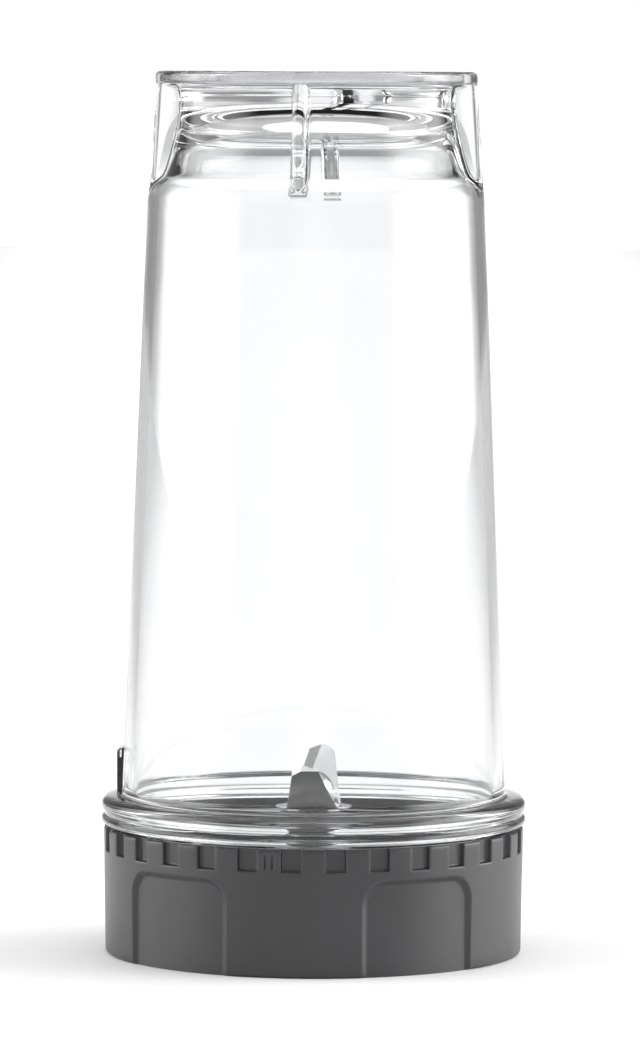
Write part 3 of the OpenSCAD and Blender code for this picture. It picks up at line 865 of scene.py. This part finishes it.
def clear_plastic():
    """Polished clear plastic: faint flow marks, hairline wear, a slight cool tint, an absorption
    that tells where light runs a long way inside it, and painted shade: a grey over the foot disc's
    colour."""
    m = Nodes("clear_plastic")
    m.colour(m.noise(40, 2), (0.3, (0.92, 0.928, 0.935)), (0.7, (0.945, 0.95, 0.955)))
    # Painted shade: the foot disc's colour is mixed towards a grey, for the darker light seen
    # through it
    foot = m.above((FOOT_Z - 0.1) * MM, FOOT_FADE)
    m.paint_wear_and_shade(foot, FOOT_PAINTED_SHADE)
    rubbed = m.math("MAXIMUM", foot, m.edges(0.53, 0.62))
    scuffs = m.math("MULTIPLY", rubbed, m.span(m.noise(900, 3), 0.06, 0.16))
    haze = m.span(m.noise(300, 4, 0.7, (1, 1, 0.2)), 0.0, 0.05)
    m.link(m.math("ADD", scuffs, haze), m.shader.inputs["Roughness"])
    m.bump(m.noise(45, 1, 0.3, (1, 1, 0.45)), 0.00006, 0.35)
    m.set(IOR=1.5, Transmission_Weight=1.0)
    depth = m.add("ShaderNodeVolumeAbsorption")
    depth.inputs["Color"].default_value = DEPTH_TINT
    depth.inputs["Density"].default_value = DEPTH_DENSITY
    m.link(depth.outputs["Volume"], m.tree.nodes["Material Output"].inputs["Volume"])
    return m.material


def metal(name, dark, light, rough, marks):
    """Bare metal with machining marks."""
    m = Nodes(name)
    m.colour(m.noise(120, 4), (0.3, dark), (0.7, light))
    pattern = marks(m)
    m.roughness(pattern, *rough)
    m.bump(pattern, 0.000005, 0.5)
    m.set(Metallic=1.0, Anisotropic=0.4)
    return m.material


def rubber(name, dark, light, rough):
    """Soft matt rubber or silicone with a faint bloom."""
    m = Nodes(name)
    m.colour(m.noise(220, 5), (0.35, dark), (0.65, light))
    m.roughness(m.noise(700, 3), *rough)
    m.bump(m.noise(2600, 3), 0.000015)
    m.set(IOR=1.42)
    return m.material


def grey(value, tint=0.0):
    """A grey, with its blue raised by a share of tint."""
    return (value, value, value * (1 + tint))


def turned(m):
    """The pattern of a turned metal."""
    return m.rings(900, 1.5)


def ground(m):
    """The pattern of a metal ground along Y."""
    return m.noise(1500, 3, 0.6, (1, 0.04, 1))


def make_materials():
    """One material for each slot. Colours are given dark then light, then the roughness."""
    return {
        "grey_plastic": moulded_plastic(
            "grey_plastic", grey(0.028, 0.09), grey(0.035, 0.09), (0.3, 0.4)),
        "dark_plastic": moulded_plastic("dark_plastic", grey(0.03), grey(0.038), (0.35, 0.5)),
        "black_nylon": moulded_plastic(
            "black_nylon", grey(0.014), grey(0.02), (0.4, 0.55), 0.00003),
        "clear_plastic": clear_plastic(),
        "silicone": rubber("silicone", grey(0.62, -0.03), grey(0.7, -0.03), (0.45, 0.6)),
        "black_rubber": rubber("black_rubber", grey(0.012), grey(0.02), (0.55, 0.75)),
        "steel": metal("steel", grey(0.48), grey(0.58), (0.18, 0.34), turned),
        "blade_steel": metal("blade_steel", grey(0.55), grey(0.64), (0.16, 0.32), ground),
        "cast_aluminium": metal(
            "cast_aluminium", grey(0.5, 0.02), grey(0.6, 0.02), (0.25, 0.42), turned),
        "bronze": metal("bronze", (0.36, 0.22, 0.1), (0.47, 0.3, 0.14), (0.35, 0.5), turned),
    }


def soften_edges():
    """Takes the knife edges off the CAD pieces that stay as they are."""
    for node in frame["nodes"].values():
        node.modifiers.new("weld", "WELD").merge_threshold = WELD_DISTANCE * MM
        bevel = node.modifiers.new("edge_round", "BEVEL")
        bevel.width = EDGE_ROUND * MM
        bevel.segments = 2
        bevel.limit_method = "ANGLE"
        bevel.angle_limit = EDGE_ANGLE
        bevel.harden_normals = True


def dress(materials):
    """Gives every CAD node and every new piece the material of its slot."""
    slots = {s["node"]: s["material_slot"] for s in frame["record"]["subparts"]}
    dressed = [(node, slots[name]) for name, node in frame["nodes"].items()]
    dressed += [(o, o["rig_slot"]) for o in bpy.context.scene.objects if o.get("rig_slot")]
    for piece, slot in dressed:
        piece.data.materials.clear()
        piece.data.materials.append(materials[slot])


# ---------------------------------------------------------------------------
# Stage, light and camera
# ---------------------------------------------------------------------------

# The level of the dim room, and the soft lamps in it: direction, inner and outer radius in
# degrees, and strength. The first is the backdrop behind the object.
ROOM_LEVEL = 0.34
GLOWS = [
    ((0, 1, 0), 5, 14, 0.81),
    ((1, 0.08, 0.1), 16, 44, 5.6),
    ((-1, 0.06, 0.1), 16, 44, 3.7),
    ((0, 0, 1), 30, 72, 0.3),
]
OVERHEAD_TOWARDS, OVERHEAD_SPREAD, OVERHEAD_STRENGTH = (-0.1, -0.12, -1), math.radians(60), 1.13

# The floor's radius in metres, and its greys by distance to the side. These are painted shade:
# white near the object, greying off to the sides where the light fades into the dim room
FLOOR_R = 6.0
FLOOR_WHITE, FLOOR_SHADE_GREY = (0.2, 0.94), (0.52, 0.5)

# The camera as it was fitted to the photo's outline, in metres, millimetres and degrees
CAMERA_AT = (0, -1.5, 0.2072)
CAMERA_LENS, CAMERA_SENSOR, CAMERA_NEAR, CAMERA_FAR = 221.05, 36, 0.05, 50
CAMERA_DOWN, CAMERA_RIGHT, CAMERA_ROLL = 4.03, 0.0465, 0.24


def make_floor():
    """A white sweep that runs away behind the object, with painted shade that greys it off to both
    sides of it, where the light fades into the dim room.
    """
    bpy.ops.mesh.primitive_circle_add(vertices=96, radius=FLOOR_R, fill_type="NGON")
    floor = bpy.context.object
    floor.name = "floor"
    m = Nodes("floor_white_painted_shade")
    apart = m.add("ShaderNodeSeparateXYZ")
    m.link(m.place, apart.inputs["Vector"])
    side = m.add("ShaderNodeMath", operation="ABSOLUTE")
    m.link(apart.outputs["X"], side.inputs[0])
    # Painted shade: the floor's colour greys off with distance to the side, for light that fades
    # into the dim room
    m.colour(side.outputs["Value"], *((x, grey(tone)) for x, tone in (FLOOR_WHITE, FLOOR_SHADE_GREY)))
    m.roughness(m.noise(8, 2), 0.5, 0.6)
    m.bump(m.noise(500, 3), 0.00002)
    m.set(IOR=1.2)
    floor.data.materials.append(m.material)


def add_glow(tree, total, axis, inner, outer, strength):
    """Adds a soft round lamp to the total of those before it, or to the room's level if there are
    none: full strength within inner degrees of an axis, and none beyond outer degrees."""
    place = tree.nodes.new("ShaderNodeTexCoord")
    facing = tree.nodes.new("ShaderNodeVectorMath")
    facing.operation = "DOT_PRODUCT"
    facing.inputs[1].default_value = Vector(axis).normalized()
    fade = tree.nodes.new("ShaderNodeMapRange")
    fade.interpolation_type = "SMOOTHSTEP"
    fade.inputs["From Min"].default_value = math.cos(math.radians(outer))
    fade.inputs["From Max"].default_value = math.cos(math.radians(inner))
    fade.inputs["To Max"].default_value = strength
    add = tree.nodes.new("ShaderNodeMath")
    add.inputs[1].default_value = ROOM_LEVEL
    tree.links.new(place.outputs["Generated"], facing.inputs[0])
    tree.links.new(facing.outputs["Value"], fade.inputs["Value"])
    tree.links.new(fade.outputs["Result"], add.inputs[0])
    if total:
        tree.links.new(total, add.inputs[1])
    return add.outputs["Value"]


def make_world():
    """A pale studio: a white backdrop behind the object, soft boxes beside and over it, and a
    dimmer room in front of it."""
    world = bpy.data.worlds.new("studio")
    bpy.context.scene.world = world
    world.use_nodes = True
    tree = world.node_tree
    tree.nodes["Background"].inputs["Color"].default_value = (1, 1, 1, 1)
    total = None
    for glow in GLOWS:
        total = add_glow(tree, total, *glow)
    tree.links.new(total, tree.nodes["Background"].inputs["Strength"])


def add_overhead():
    """A wide, distant soft box, which lights the whole floor evenly."""
    light = bpy.data.lights.new("overhead", "SUN")
    light.angle = OVERHEAD_SPREAD
    light.energy = OVERHEAD_STRENGTH
    lamp = bpy.data.objects.new("overhead", light)
    lamp.rotation_euler = Vector(OVERHEAD_TOWARDS).to_track_quat("-Z", "Y").to_euler()
    bpy.context.scene.collection.objects.link(lamp)


def make_camera():
    """The photo's point of view, from -Y and a little down."""
    camera = bpy.data.objects.new("camera", bpy.data.cameras.new("camera"))
    camera.data.sensor_width = CAMERA_SENSOR
    camera.data.lens = CAMERA_LENS
    camera.data.clip_start, camera.data.clip_end = CAMERA_NEAR, CAMERA_FAR
    camera.location = CAMERA_AT
    down, right, roll = (math.radians(d) for d in (CAMERA_DOWN, CAMERA_RIGHT, CAMERA_ROLL))
    level = Euler((math.pi / 2 - down, 0, -right)).to_matrix()
    camera.rotation_euler = (level @ Matrix.Rotation(roll, 3, "Z")).to_euler()
    bpy.context.scene.collection.objects.link(camera)
    bpy.context.scene.camera = camera


# ---------------------------------------------------------------------------

bpy.context.scene.view_settings.view_transform = "Standard"
bpy.context.scene.cycles.max_bounces = 32
bpy.context.scene.cycles.transmission_bounces = 32
make_camera()
make_floor()
make_world()
add_overhead()
build_collar()
build_cup()
dress(make_materials())
soften_edges()
